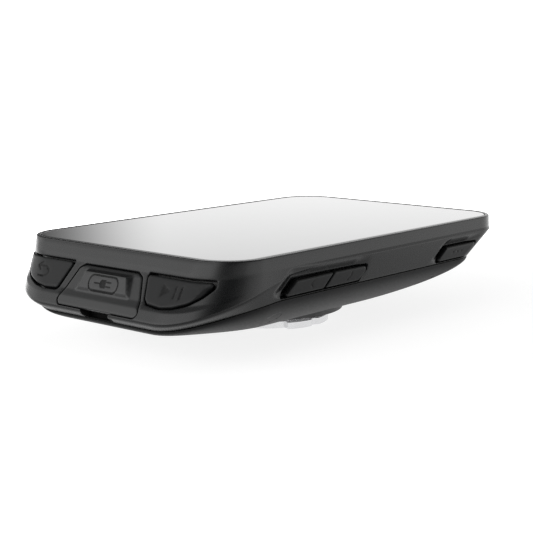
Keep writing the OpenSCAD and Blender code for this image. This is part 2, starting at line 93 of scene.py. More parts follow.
def around(o, s):
    """x, y on an outline at length s from the front centre, negative on the left."""
    hw, yf, yb, rf, rb = o
    q = np.interp(np.abs(s), MARKS, np.arange(6))
    a = np.clip(q - 1, 0, 1) * math.pi / 2
    b = np.clip(q - 3, 0, 1) * math.pi / 2
    x = (hw - rf) * np.clip(q, 0, 1) + rf * np.sin(a) - rb * (1 - np.cos(b)) - (hw - rb) * np.clip(q - 4,
                                                                                                   0, 1)
    y = -yf + rf * (1 - np.cos(a)) + (yf + yb - rf - rb) * np.clip(q - 2, 0, 1) + rb * np.sin(b)
    return np.stack([np.where(s < 0, -x, x), y + SHIFT], axis=-1)


def fall(s, run=LIP_RUN):
    """1 along the chin, falling to 0 over this length round the front corners."""
    t = np.clip((np.abs(s) - 17) / run, 0, 1)
    return (1 - t) ** 3 * (1 + 3 * t)


def lip_z(s):
    return BAND_Z - SIDE_LIP - (LIP_DEPTH - 2.7 - SIDE_LIP) * fall(s)


def part_z(s):
    return BODY_H - PART_DEPTH - PART_DROP * fall(s, PART_RUN)


# Steps of the chin between the band and the lip: share of the height, share of the reach
CHIN_STEPS = ((0.10, 0.042), (0.627, 0.585), (0.746, 0.78))
KNEE_R = (0.3, 0.16, 0.2, 0.2)


def knots(s):
    """Heights, outline points and rounding radii of the profile's knees at each s."""
    zl, zp = lip_z(s), part_z(s)
    band, lip = around(BAND, s), around(LIP, s)
    console = 1 - ease((np.abs(s) - 27) / 10)
    zs = [np.full_like(s, BODY_H), np.full_like(s, BAND_Z)]
    ps = [around(TOP, s), band]
    for w, g in CHIN_STEPS:
        g = mix(w, g, console)[:, None]
        zs.append(mix(BAND_Z, zl, w))
        ps.append(band + (lip - band) * g)
    zs += [zl, zp]
    ps += [lip, around(PART, s)]
    wanted = [np.full_like(s, r) for r in KNEE_R] + [mix(0.2, 0.6, fall(s))]
    rs = [np.minimum(w, 0.45 * np.minimum(zs[k] - zs[k + 1], zs[k + 1] - zs[k + 2])) for k,
          w in enumerate(wanted)]
    return zs, ps, rs


def skin(s, z):
    """Points of the upper housing's skin."""
    s, z = np.asarray(s, float), np.asarray(z, float)
    zs, ps, rs = knots(s)
    slopes = [(ps[k + 1] - ps[k]) / (zs[k] - zs[k + 1])[:, None] for k in range(len(zs) - 1)]
    xy = ps[0] + slopes[0] * (BODY_H - z)[:, None]
    for k in range(1, len(slopes)):
        past, r = zs[k] - z, rs[k - 1]
        bent = np.where(past < -r, 0, np.where(past > r, past, (past + r) ** 2 / (4 * r)))
        xy = xy + (slopes[k] - slopes[k - 1]) * bent[:, None]
    return np.column_stack([xy, z])


def normals(surface, s, z):
    e = 0.02
    across = surface(s + e, z) - surface(s - e, z)
    up = surface(s, z + e) - surface(s, z - e)
    n = np.cross(across, up)
    return n / np.linalg.norm(n, axis=1)[:, None]


def raised(s, z, h):
    """Skin points moved out by h along the surface's normal."""
    s, z = np.asarray(s, float), np.asarray(z, float)
    return skin(s, z) + normals(skin, s, z) * np.asarray(h)[:, None]


def s_of(axis, value, z, low, high):
    """The s between low and high where the skin at height z has this x or y."""
    low, high = np.full_like(z, low), np.full_like(z, high)
    for _ in range(40):
        mid = (low + high) / 2
        more = skin(mid, z)[:, axis] < value
        low, high = np.where(more, mid, low), np.where(more, high, mid)
    return (low + high) / 2


# --- outlines on the skin ---------------------------------------------------------------------

def rounded(corners, step=0.3):
    """Closed outline through (a, b, radius) corners, with its corners rounded."""
    pts = np.array([c[:2] for c in corners], float)
    out = []
    n = len(pts)
    for i in range(n):
        p, before, after, r = pts[i], pts[i - 1], pts[(i + 1) % n], corners[i][2]
        u, v = (before - p) / np.linalg.norm(before - p), (after - p) / np.linalg.norm(after - p)
        half = math.acos(np.clip(u @ v, -1, 1)) / 2
        reach = min(r / math.tan(half), 0.49 * min(np.linalg.norm(before - p), np.linalg.norm(after - p)))
        r = reach * math.tan(half)
        centre = p + (u + v) / np.linalg.norm(u + v) * r / math.sin(half)
        a, b = p + u * reach - centre, p + v * reach - centre
        turn = math.atan2(a[0] * b[1] - a[1] * b[0], a @ b)
        steps = max(3, int(abs(turn) * r / (0.6 * step)) + 1)
        for k in range(steps + 1):
            t = turn * k / steps
            out.append(centre + [a[0] * math.cos(t) - a[1] * math.sin(t),
                                 a[0] * math.sin(t) + a[1] * math.cos(t)])
    return resampled(np.array(out), step)


def resampled(loop, step):
    """Adds points on the long straight runs."""
    out = []
    for p, q in zip(loop, np.roll(loop, -1, axis=0)):
        gap = np.linalg.norm(q - p)
        if gap < 1e-6:
            continue
        k = max(1, int(math.ceil(gap / step)))
        out += [mix(p, q, i / k) for i in range(k)]
    return np.array(out)


def offset(loop, d):
    """The closed loop moved outwards by d."""
    ahead = np.roll(loop, -1, axis=0) - loop
    ahead /= np.linalg.norm(ahead, axis=1)[:, None]
    tangent = ahead + np.roll(ahead, 1, axis=0)
    tangent /= np.linalg.norm(tangent, axis=1)[:, None]
    x, y = loop.T
    area = np.sum(x * np.roll(y, -1) - np.roll(x, -1) * y)
    side = np.column_stack([tangent[:, 1], -tangent[:, 0]]) * (1 if area > 0 else -1)
    return loop + side * d


def distance(points, loop):
    """Signed distance to a closed loop, negative inside."""
    out = np.full(len(points), 1e3)
    near = np.all((points > loop.min(0) - 4) & (points < loop.max(0) + 4), axis=1)
    p = points[near]
    if not len(p):
        return out
    a, b = loop, np.roll(loop, -1, axis=0)
    best = np.full(len(p), 1e9)
    inside = np.zeros(len(p), bool)
    for start, end in zip(a, b):
        run = end - start
        t = np.clip(((p - start) @ run) / max(run @ run, 1e-12), 0, 1)
        best = np.minimum(best, np.linalg.norm(p - start - t[:, None] * run, axis=1))
        if start[1] != end[1]:
            crosses = (start[1] > p[:, 1]) != (end[1] > p[:, 1])
            inside ^= crosses & (p[:, 0] < run[0] * (p[:, 1] - start[1]) / run[1] + start[0])
    out[near] = np.where(inside, -best, best)
    return out


def stroke(points, width, step):
    """Outline of a pen stroke of this width along the points, with round ends."""
    pts = np.array(points, float)
    r = width / 2
    run = [pts[0]]
    for p, q in zip(pts[:-1], pts[1:]):
        k = max(1, int(math.ceil(np.linalg.norm(q - p) / step)))
        run += [mix(p, q, i / k) for i in range(1, k + 1)]
    run = np.array(run)
    ahead = np.gradient(run, axis=0)
    ahead /= np.linalg.norm(ahead, axis=1)[:, None]
    side = np.column_stack([-ahead[:, 1], ahead[:, 0]])

    def cap(centre, direction):
        start = math.atan2(direction[1], direction[0])
        return [centre + r * np.array([math.cos(start - t), math.sin(start - t)])
                for t in np.linspace(0, math.pi, 8)[1:-1]]

    return [np.array(list(run + side * r) + cap(run[-1], side[-1])
                     + list((run - side * r)[::-1]) + cap(run[0], -side[0]))]


# --- meshes -----------------------------------------------------------------------------------

def triangulated(loops, loose):
    """Constrained Delaunay triangulation: every loop is kept as edges. Returns points and triangles."""
    pts, edges = [], []
    for loop in loops:
        base = len(pts)
        pts += [Vector((float(p[0]), float(p[1]))) for p in loop]
        edges += [(base + i, base + (i + 1) % len(loop)) for i in range(len(loop))]
    pts += [Vector((float(p[0]), float(p[1]))) for p in loose]
    verts, _, faces, _, _, _ = delaunay_2d_cdt(pts, edges, [], 1, 1e-5)
    return np.array([v[:] for v in verts]), [tuple(f) for f in faces]


def make(name, verts, faces, material, angle=35.0):
    """A mesh object from millimetre points, smooth except at edges sharper than the angle."""
    mesh = bpy.data.meshes.new(name)
    mesh.from_pydata([tuple(float(c) * MM for c in v) for v in verts], [],
                     [tuple(int(i) for i in f) for f in faces])
    mesh.validate()
    mesh.update()
    obj = bpy.data.objects.new(name, mesh)
    bpy.context.scene.collection.objects.link(obj)
    mesh.materials.append(material)
    mesh.polygons.foreach_set("use_smooth", [True] * len(mesh.polygons))
    mesh.set_sharp_from_angle(angle=math.radians(angle))
    return obj


def outward(obj):
    """Turns every face of a closed mesh outwards and welds doubled points."""
    bm = bmesh.new()
    bm.from_mesh(obj.data)
    bmesh.ops.remove_doubles(bm, verts=bm.verts, dist=2e-7)
    bmesh.ops.dissolve_degenerate(bm, edges=bm.edges, dist=1e-8)
    bmesh.ops.recalc_face_normals(bm, faces=bm.faces)
    bm.to_mesh(obj.data)
    bm.free()
    obj.data.update()
    return obj


def rows_mesh(rows):
    """Points and quads of a stack of closed rings, each a list of the same number of points."""
    n = len(rows[0])
    verts = np.concatenate(rows)
    faces = []
    for k in range(len(rows) - 1):
        a, b = k * n, (k + 1) * n
        faces += [(a + i, a + (i + 1) % n, b + (i + 1) % n, b + i) for i in range(n)]
    return verts, faces


def cutaway(obj, cutters):
    """Subtracts closed meshes from obj, exactly."""
    for cutter in cutters:
        mod = obj.modifiers.new("cut", "BOOLEAN")
        mod.operation, mod.solver, mod.object = "DIFFERENCE", "EXACT", cutter
        bpy.context.view_layer.update()
        cut = bpy.data.meshes.new_from_object(obj.evaluated_get(bpy.context.evaluated_depsgraph_get()))
        obj.modifiers.clear()
        obj.data = cut
        bpy.data.objects.remove(cutter)
    return obj


def lathe(profile, n=96, centre=(0, 0)):
    """Rings of a turned shape from (radius, z) points."""
    a = np.linspace(0, 2 * math.pi, n, endpoint=False)
    return [np.column_stack([centre[0] + r * np.cos(a), centre[1] + r * np.sin(a), np.full(n, z)])
            for r, z in profile]


def capped(rows):
    """Closes the first and last ring of a stack with a fan."""
    verts, faces = rows_mesh(rows)
    n = len(rows[0])
    first, last = len(verts), len(verts) + 1
    verts = np.vstack([verts, rows[0].mean(0), rows[-1].mean(0)])
    base = (len(rows) - 1) * n
    faces += [(first, (i + 1) % n, i) for i in range(n)]
    faces += [(last, base + i, base + (i + 1) % n) for i in range(n)]
    return verts, faces


# --- relief on the skin -----------------------------------------------------------------------

class Step:
    """A change of height across a loop, from (distance outside the loop, height) pairs, innermost first."""

    def __init__(self, loop, levels):
        self.loop = loop
        self.far, self.high = np.array(levels).T
        self.rings = [offset(loop, d) for d in self.far]

    def __call__(self, points):
        return np.interp(distance(points, self.loop), self.far, self.high)


# Ranges of s searched on the front and on the right-hand side
FRONT_S = (-46, 46)
SIDE_S = (25, HALF - 24)


def on_front(corners, step=0.3):
    """Rounded outline given as x, z on the front, as s, z."""
    xz = rounded(corners, step)
    return np.column_stack([s_of(0, xz[:, 0], xz[:, 1], *FRONT_S), xz[:, 1]])


def on_side(corners, step=0.3):
    """Rounded outline given as y, z on the right-hand side, as s, z."""
    yz = rounded(corners, step)
    return np.column_stack([s_of(1, yz[:, 0], yz[:, 1], *SIDE_S), yz[:, 1]])


def front_stroke(points, width):
    """Pen stroke given as x, z on the front, as s, z."""
    return [np.column_stack([s_of(0, p[:, 0], p[:, 1], *FRONT_S), p[:, 1]])
            for p in stroke(points, width, step=0.2)]


def side_stroke(points, width):
    return [np.column_stack([s_of(1, p[:, 0], p[:, 1], *SIDE_S), p[:, 1]])
            for p in stroke(points, width, step=0.2)]


def mirrored(loop):
    return loop[::-1] * [-1, 1]


START_KEY = on_front([(10.6, 18.1, 0.7), (12.2, 13.6, 0.9), (13.2, 12.85, 0.8), (17.0, 12.6, 4),
                      (20.1, 12.9, 6),
                      (23.2, 13.8, 7), (25.7, 15.4, 4), (27.1, 17.0, 1.0), (27.0, 18.0, 0.5)])
START_POCKET = on_front([(10.5, 18.4, 0.5), (12.1, 13.5, 0.9), (13.1, 12.65, 0.9), (17.0, 12.3, 4),
                         (20.2, 12.6, 6),
                         (23.4, 13.5, 7), (26.0, 15.2, 4), (27.6, 16.9, 1.0), (27.5, 18.4, 0.4)])
BACK_KEY = mirrored(on_front([(11.7, 18.15, 0.5), (13.7, 13.3, 0.9), (14.0, 12.85, 0.8), (17.5, 12.7, 4),
                              (20.6, 13.0, 6),
                              (24, 13.8, 7), (27.6, 15.3, 5), (29.8, 16.9, 1.6), (30.0, 18.15, 0.6)]))
BACK_POCKET = mirrored(on_front([(11.1, 18.42, 0.3), (13.1, 13.2, 0.9), (13.6, 12.5, 0.9), (17.5, 12.4, 4),
                                 (20.7, 12.7, 6), (24.2, 13.55, 7), (27.8, 15.1, 5), (30.4, 16.8, 1.6),
                                 (30.6, 18.42, 0.5)]))
FLAP = on_front([(-7.9, 18.0, 0.9), (-9.3, 17.2, 0.9), (-12.1, 10.9, 0.9), (-11.3, 9.95, 0.8),
                 (11.3, 9.95, 0.8), (12.1, 10.9, 0.9), (9.3, 17.2, 0.9), (7.9, 18.0, 0.9)])
FLAP_POCKET = offset(FLAP, 0.16)
PAGE_BACK_KEY = on_side([(-27.5, 16.25, 0.5), (-15.2, 16.35, 0.25), (-18.1, 13.2, 0.3), (-30.8, 13.2, 0.4)])
PAGE_NEXT_KEY = on_side([(-14.8, 16.35, 0.25), (-2.3, 16.25, 0.9), (-6.1, 13.2, 0.9), (-17.7, 13.2, 0.3)])
PAGES_POCKET = on_side([(-28.7, 17.0, 0.5), (-2.0, 16.7, 0.8), (-5.9, 12.98, 0.8), (-32.6, 12.98, 0.4)])
MENU_KEY = on_side([(27.9, 16.3, 0.6), (41.4, 16.3, 0.8), (38.8, 13.2, 0.6), (24.4, 13.2, 0.4)])
MENU_POCKET = on_side([(27.2, 16.75, 0.6), (42.0, 16.65, 0.8), (39.2, 12.98, 0.6), (23.3, 12.98, 0.4)])

FRONT_DROP = ((-0.08, -1.65), (-0.01, -0.3), (0.05, -0.09), (0.13, -0.02), (0.22, 0))
FLAP_DROP = ((-0.08, -1.4), (-0.01, -0.25), (0.04, -0.08), (0.1, -0.02), (0.16, 0))
SIDE_DROP = ((-0.1, -1.4), (-0.03, -0.3), (0.03, -0.08), (0.08, -0.02), (0.13, 0))

POCKETS = [Step(START_POCKET, FRONT_DROP), Step(BACK_POCKET, FRONT_DROP), Step(FLAP_POCKET, FLAP_DROP),
           Step(PAGES_POCKET, SIDE_DROP), Step(MENU_POCKET, SIDE_DROP)]


def scoop(points, pocket, depth, reach, fade_from, fade_run):
    """Hollow that runs down to a side pocket's top and front end, and dies out along s."""
    d = distance(points, pocket)
    share = ease((reach - d) / reach) * ease((points[:, 1] - 13.0) / 1.6)
    return -depth * share * (1 - ease((points[:, 0] - fade_from) / fade_run))


def skin_height(points):
    """Height of the upper housing's relief at s, z points."""
    low = np.minimum.reduce([p(points) for p in POCKETS])
    page_end = s_of(1, -8.0, np.array([16.5]), *SIDE_S)[0]
    menu_end = s_of(1, 36.0, np.array([16.5]), *SIDE_S)[0]
    low = np.minimum(low, scoop(points, PAGES_POCKET, 0.8, 2.2, page_end, 6))
    return np.minimum(low, scoop(points, MENU_POCKET, 0.8, 2.1, menu_end, 8))


# The skin is triangulated over s and w, where w runs evenly between the profile's knees
W_STEPS = np.array([0, 2.7, 3.7, 9.0, 10.2, 13.0, 18.7])


def knee_heights(s):
    zl, zp = lip_z(s), part_z(s)
    z = [np.full_like(s, BODY_H), np.full_like(s, BAND_Z)] + [mix(BAND_Z, zl, w) for w,
                                                              _ in CHIN_STEPS] + [zl, zp]
    return np.stack(z)


def to_w(points):
    z = knee_heights(points[:, 0])
    w = np.empty(len(points))
    for i in range(len(points)):
        w[i] = np.interp(-points[i, 1], -z[:, i], W_STEPS)
    return np.column_stack([points[:, 0], w])


def from_w(points):
    z = knee_heights(points[:, 0])
    out = np.empty(len(points))
    for i in range(len(points)):
        out[i] = np.interp(points[i, 1], W_STEPS, z[:, i])
    return np.column_stack([points[:, 0], out])


def columns():
    """Sample lengths round the body: closer at the chin and the side keys."""
    fine = np.arange(0, 96, 0.55)
    coarse = np.linspace(96, HALF, 60)[1:]
    right = np.concatenate([fine, coarse])
    return np.unique(np.round(np.concatenate([-right, right]), 6))


def rim_loop(o, s, z):
    """Ring of points on an outline, one for each s, at height z."""
    z = np.broadcast_to(z, s.shape)
    return np.column_stack([around(o, s), z])


def shrunk(o, d, f=None):
    f = d if f is None else f
    return (o[0] - d, o[1] - f, o[2] - d, o[3] - d, o[4] - d)


# Sample rows in w, closer together at the knees
W_RUNS = ((0, 2.4, 0.5), (2.5, 2.95, 0.1), (3.1, 3.5, 0.15), (3.55, 3.9, 0.1), (4.2, 8.6, 0.42),
          (8.7, 9.35, 0.12),
          (9.5, 9.9, 0.2), (9.95, 10.5, 0.12), (10.8, 12.5, 0.35), (12.5, 13.6, 0.15), (13.8, 18.4, 0.45))
W_ROWS = np.concatenate([np.arange(*run) for run in W_RUNS] + [[18.55]])

EDGE_R = 0.22
FOOT_EDGE = 0.12


def front_shell(material):
    s_all = columns()
    w_rows = np.sort(np.concatenate([W_ROWS, [2.35, W_STEPS[-1]]]))
    loose, rings = [], []
    for s in s_all[1:-1]:
        for k, w in enumerate(w_rows[1:-1]):
            if abs(s) > 47 and 3.0 < w < 12.8 and k % 4:
                continue
            loose.append((s, w))
    hull = [(s, 0) for s in s_all] + [(s_all[-1], w) for w in w_rows[1:-1]]
    hull += [(s, W_STEPS[-1]) for s in s_all[::-1]] + [(s_all[0], w) for w in w_rows[1:-1][::-1]]
    for p in POCKETS:
        rings += [to_w(r) for r in p.rings]
    pts, tris = triangulated([np.array(hull)] + rings, loose)
    sz = from_w(pts)
    on_top, on_bottom = pts[:, 1] < 1e-4, pts[:, 1] > W_STEPS[-1] - 1e-4
    verts = raised(sz[:, 0], sz[:, 1], skin_height(sz))
    top_rows = []
    s = s_all[:-1]
    for t in (0.35, 0.7, 1.0):
        a = t * math.pi / 2
        top_rows.append(rim_loop(shrunk(TOP, EDGE_R * (1 - math.cos(a))), s,
                                 BODY_H - EDGE_R + EDGE_R * math.sin(a)))
    verts[on_top | (pts[:, 1] < 0.4), 2] = np.minimum(verts[on_top | (pts[:, 1] < 0.4), 2], BODY_H - EDGE_R)
    rows = top_rows + [rim_loop(shrunk(TOP, GLASS_INSET - 0.08), s, BODY_H),
                       rim_loop(shrunk(TOP, GLASS_INSET), s, BODY_H - 0.08),
                       rim_loop(shrunk(TOP, GLASS_INSET), s, LEDGE_Z),
                       rim_loop(shrunk(TOP, WINDOW_INSET), s, LEDGE_Z),
                       rim_loop(shrunk(TOP, WINDOW_INSET), s, LEDGE_Z - 1.3),
                       rim_loop(shrunk(BAND, WALL, FRONT_WALL), s, LEDGE_Z - 1.3),
                       rim_loop(shrunk(LIP, WALL, FRONT_WALL), s, lip_z(s) + 0.6),
                       rim_loop(shrunk(PART, WALL, FRONT_WALL), s, part_z(s)),
                       rim_loop(shrunk(PART, FOOT_EDGE), s, part_z(s))]
    n = len(s)
    base = len(verts)
    verts = np.vstack([verts] + rows)
    faces = [tuple(t) for t in tris]
    top_ids = sorted(np.nonzero(on_top)[0], key=lambda i: pts[i, 0])
    bottom_ids = sorted(np.nonzero(on_bottom)[0], key=lambda i: pts[i, 0])
    assert len(top_ids) == len(s_all) and len(bottom_ids) == len(s_all), (len(top_ids), len(bottom_ids),
                                                                          len(s_all))
    chain = [top_ids[:-1]] + [[base + k * n + i for i in range(n)]
                              for k in range(len(rows))] + [bottom_ids[:-1]]
    ends = [top_ids[-1]] + [base + k * n for k in range(len(rows))] + [bottom_ids[-1]]
    for k in range(len(chain) - 1):
        for i in range(n):
            j = i + 1
            a, b = chain[k][i], (chain[k][j] if j < n else ends[k])
            c, d = (chain[k + 1][j] if j < n else ends[k + 1]), chain[k + 1][i]
            faces.append((a, b, c, d))
    verts[bottom_ids, 2] += FOOT_EDGE
    return outward(make("front_shell", verts, faces, material, 30))


def tile(name, outline, edge, thickness, material, extra=None, rings=(), ink=None, inked=()):
    """A closed tile that follows the skin: face at the edge's height plus extra, back at -thickness.

    Triangles inside an inked outer loop, and outside its holes, take the ink material."""
    rim = Step(outline, edge)
    s_low, s_high = outline[:, 0].min(), outline[:, 0].max()
    grid = np.array([(s, w) for s in np.arange(s_low + 0.2, s_high, 0.45) for w in W_ROWS])
    grid = from_w(grid)
    grid = grid[distance(grid, outline) < rim.far[0] - 0.12]
    lines = [loop for shape in inked for loop in shape]
    for line in list(rings) + lines:
        grid = grid[np.abs(distance(grid, line)) > 0.1]
    loops = [to_w(loop) for loop in [outline] + rim.rings[:-1] + list(rings) + lines]
    pts, tris = triangulated(loops, to_w(grid))
    sz = from_w(pts)
    high = rim(sz) if extra is None else rim(sz) + extra(sz)
    n = len(pts)
    count = set()
    for a, b, c in tris:
        count |= {(a, b), (b, c), (c, a)}
    border = [(a, b) for a, b in count if (b, a) not in count]
    faces = list(tris) + [(a + n, c + n, b + n) for a, b, c in tris] + [(b, a, a + n, b + n) for a,
                                                                        b in border]
    back = raised(sz[:, 0], sz[:, 1], np.full(n, -thickness))
    obj = make(name, np.vstack([raised(sz[:, 0], sz[:, 1], high), back]), faces, material, 32)
    if ink is not None:
        obj.data.materials.append(ink)
        mids = np.array([sz[list(t)].mean(0) for t in tris])
        inside = np.zeros(len(tris), bool)
        for shape in inked:
            here = distance(mids, shape[0]) < 0
            for hole in shape[1:]:
                here &= distance(mids, hole) > 0
            inside |= here
        for i in np.nonzero(inside)[0]:
            obj.data.polygons[int(i)].material_index = 1
    return outward(obj)


def engraving(inked, depth):
    """Height of thin sunk lines; each shape is an outer loop and its holes."""
    def height(points):
        low = np.zeros(len(points))
        for shape in inked:
            d = distance(points, shape[0])
            for hole in shape[1:]:
                d = np.maximum(d, -distance(points, hole))
            low = np.minimum(low, -depth * ease((0.02 - d) / 0.07))
        return low
    return height


def both(*heights):
    return lambda points: sum(h(points) for h in heights)


KEY_EDGE = ((-0.5, 0.1), (-0.3, 0.085), (-0.16, 0.03), (-0.06, -0.08), (0, -0.28))
FLAP_EDGE = ((-0.3, 0.0), (-0.14, -0.03), (-0.05, -0.1), (0, -0.25))


KEY_T = 1.0
FLAP_T = 1.15

SCREWS = [(x, y) for x in (-26.8, 26.8) for y in (-30, 25)]
SCREW_HOLE_R = 2.3
PLUG_R = 2.25
PLUG_TOP = 10.1
SCREW_SEAT_Z = 11.5
VENT_AT, VENT_R, VENT_TOP = (7, -31), 0.6, 9
DRILL_FROM = -1


def rear_shell(material):
    s = columns()
    s = s[:-1]
    outer = [rim_loop(shrunk(PART, 0.1), s, part_z(s) - 0.06), rim_loop(PART, s, part_z(s) - 0.13),
             rim_loop(PART, s, part_z(s) - 0.34)]

    def belly(part, keel, floor_z, steps, drop):
        a, b = around(part, s), around(keel, s)
        out = []
        for u in steps:
            h, v = 1 - math.cos(u) ** 1.76, math.sin(u) ** 1.26
            out.append(np.column_stack([mix(a, b, h), mix(part_z(s) - drop, floor_z, v)]))
        return out

    turn = np.concatenate([[0.004, 0.02], np.linspace(0.05, math.pi / 2 - 0.02, 26), [math.pi / 2 - 1e-6]])
    outer += belly(PART, KEEL, KEEL_Z, turn, 0.36)
    middle = np.array([0, SHIFT - 14])

    def closing(ring, shares):
        return [np.column_stack([mix(ring[:, :2], middle, f), ring[:, 2]]) for f in shares]

    outer += closing(outer[-1], (0.25, 0.55, 0.85))
    inner = belly(shrunk(PART, WALL, FRONT_WALL), shrunk(KEEL, 1.8), KEEL_Z + 1.8,
                  np.linspace(0.12, math.pi / 2 - 1e-6, 16), 0)
    inner.insert(0, rim_loop(shrunk(PART, WALL, FRONT_WALL), s, part_z(s) - 0.08))
    inner += closing(inner[-1], (0.3, 0.8))
    rows = inner[::-1] + outer
    verts, faces = capped(rows)
    obj = outward(make("rear_shell", verts, faces, material, 40))
    blank = outward(make("blank", verts, faces, material, 40))
    cutters = [((SCREW_HOLE_R, DRILL_FROM), (SCREW_HOLE_R, SCREW_SEAT_Z), at) for at in SCREWS]
    cutters.append(((VENT_R, DRILL_FROM), (VENT_R, VENT_TOP), VENT_AT))
    solids = [outward(make("cutter", *capped(lathe(c[:2], 48, c[2])), material)) for c in cutters]
    return cutaway(obj, solids), blank


def screw_plugs(blank, material):
    """Plugs that close the screw holes, cut from the uncut rear shell so that they lie flush with it."""
    pins = [outward(make("pin", *capped(lathe([(PLUG_R, 0), (PLUG_R, PLUG_TOP)], 48, at)), material))
            for at in SCREWS]
    for pin in pins:
        mod = pin.modifiers.new("trim", "BOOLEAN")
        mod.operation, mod.solver, mod.object = "INTERSECT", "EXACT", blank
    bpy.context.view_layer.update()
    graph = bpy.context.evaluated_depsgraph_get()
    joined = bmesh.new()
    for pin in pins:
        joined.from_mesh(bpy.data.meshes.new_from_object(pin.evaluated_get(graph)))
    mesh = bpy.data.meshes.new("screw_hole_plugs")
    joined.to_mesh(mesh)
    joined.free()
    for pin in pins:
        bpy.data.objects.remove(pin)
    obj = bpy.data.objects.new("screw_hole_plugs", mesh)
    bpy.context.scene.collection.objects.link(obj)
    mesh.materials.clear()
    mesh.materials.append(material)
    mesh.polygons.foreach_set("use_smooth", [True] * len(mesh.polygons))
    mesh.set_sharp_from_angle(angle=math.radians(40))
    return outward(obj)


def glass_plate(material):
    s = columns()
    s = s[:-1]
    low, high, r = LEDGE_Z + 0.25, BODY_H - 0.05, 0.15
    rows = [rim_loop(shrunk(TOP, GLASS_EDGE + r), s, low), rim_loop(shrunk(TOP, GLASS_EDGE), s, low + r)]
    for a in np.linspace(0, math.pi / 2, 5):
        rows.append(rim_loop(shrunk(TOP, GLASS_EDGE + r * (1 - math.cos(a))), s, high - r + r * math.sin(a)))
    for d in (2.0, 5.0, 9.0):
        rows.append(rim_loop((TOP[0] - d, TOP[1] - d, TOP[2] - d, max(TOP[3] - d, 0.5),
                              max(TOP[4] - d, 0.5)), s, high))
    verts, faces = capped(rows)
    return outward(make("glass", verts, faces, material, 30))


# --- materials ---------------------------------------------------------------------------------

def new_material(name, metallic=0.0, specular=0.5, ior=1.5):
    m = bpy.data.materials.new(name)
    m.use_nodes = True
    bsdf = m.node_tree.nodes["Principled BSDF"]
    bsdf.inputs["Metallic"].default_value = metallic
    bsdf.inputs["Specular IOR Level"].default_value = specular
    bsdf.inputs["IOR"].default_value = ior
    return m, m.node_tree, bsdf


def finish_of(name, dark, light, rough, grain=900.0, grain_depth=0.00001, patch=60.0, metallic=0.0,
              specular=0.5,
              ior=1.5, stretch=(1, 1, 1)):
    """Two-tone, finely textured surface: slow colour drift, fine grain in bump and roughness."""
    m, tree, bsdf = new_material(name, metallic, specular, ior)
    add, link = tree.nodes.new, tree.links.new
    place = add("ShaderNodeTexCoord")
    scale = add("ShaderNodeMapping")
    scale.inputs["Scale"].default_value = stretch
    link(place.outputs["Object"], scale.inputs["Vector"])
    drift = add("ShaderNodeTexNoise")
    drift.inputs["Scale"].default_value = patch
    drift.inputs["Detail"].default_value = 4
    link(scale.outputs[0], drift.inputs["Vector"])
    fine = add("ShaderNodeTexNoise")
    fine.inputs["Scale"].default_value = grain
    fine.inputs["Detail"].default_value = 3
    link(scale.outputs[0], fine.inputs["Vector"])
    tones = add("ShaderNodeValToRGB")
    tones.color_ramp.elements[0].position, tones.color_ramp.elements[1].position = 0.3, 0.7
    tones.color_ramp.elements[0].color = (*dark, 1)
    tones.color_ramp.elements[1].color = (*light, 1)
    link(drift.outputs[0], tones.inputs[0])
    link(tones.outputs[0], bsdf.inputs["Base Color"])
    gloss = add("ShaderNodeMapRange")
    gloss.inputs["From Min"].default_value, gloss.inputs["From Max"].default_value = 0.3, 0.7
    gloss.inputs["To Min"].default_value, gloss.inputs["To Max"].default_value = rough
    link(fine.outputs[0], gloss.inputs["Value"])
    link(gloss.outputs[0], bsdf.inputs["Roughness"])
    bump = add("ShaderNodeBump")
    bump.inputs["Strength"].default_value = 1
    bump.inputs["Distance"].default_value = grain_depth
    link(fine.outputs[0], bump.inputs["Height"])
    link(bump.outputs[0], bsdf.inputs["Normal"])
    return m


PLASTIC = finish_of("moulded_plastic", (0.0036, 0.0038, 0.004), (0.0052, 0.0054, 0.0056), (0.25, 0.3),
                    2600, 8e-7,
                    specular=0.2)
REAR_PLASTIC = finish_of("rear_plastic", (0.0046, 0.0048, 0.005), (0.0064, 0.0066, 0.0068), (0.42, 0.5),
                         2400, 2e-6,
                         specular=0.08)
KEY_PLASTIC = finish_of("key_plastic", (0.0034, 0.0036, 0.0038), (0.0048, 0.005, 0.0052), (0.3, 0.4),
                        2600, 2e-6,
                        specular=0.12)
FLAP_RUBBER = finish_of("flap_rubber", (0.0052, 0.0054, 0.0056), (0.007, 0.0072, 0.0074), (0.28, 0.36),
                        2400, 2e-6,
                        specular=0.22)
INK = finish_of("pictogram_ink", (0.0015, 0.0015, 0.0015), (0.003, 0.003, 0.003), (0.6, 0.7), 2000, 1e-6,
                specular=0.15)
GLASS = finish_of("cover_glass", (0.004, 0.0045, 0.005), (0.006, 0.0065, 0.007), (0.03, 0.05), 40, 0, 20,
                  ior=1.52)
# Painted shade: the finger notch below the port flap is the housing's own plastic, coloured near-black and
# made dull so that it looks like a shaded recess.
NOTCH_SHADE = finish_of("notch_painted_shade", (0.001, 0.001, 0.001), (0.002, 0.002, 0.002), (0.7, 0.85), 1600, 2e-6,
                   specular=0.05)
SEAL_RUBBER = finish_of("seal_rubber", (0.006, 0.006, 0.006), (0.012, 0.012, 0.012), (0.7, 0.85), 1200, 8e-6)
BLACK_STEEL = finish_of("black_steel", (0.05, 0.05, 0.055), (0.09, 0.09, 0.095), (0.3, 0.45), 1500, 2e-6,
                        metallic=1.0)
ADHESIVE = finish_of("adhesive", (0.01, 0.01, 0.01), (0.02, 0.02, 0.02), (0.5, 0.7), 1000, 4e-6)
DISPLAY = finish_of("display_glass", (0.006, 0.008, 0.011), (0.012, 0.014, 0.02), (0.08, 0.16), 300, 0)
WHITE_PLASTIC = finish_of("white_plastic", (0.6, 0.6, 0.58), (0.72, 0.72, 0.7), (0.4, 0.55), 900, 4e-6)
FLEX = finish_of("flex_film", (0.32, 0.12, 0.02), (0.42, 0.18, 0.04), (0.25, 0.4), 500, 2e-6,
                 stretch=(1, 6, 1))
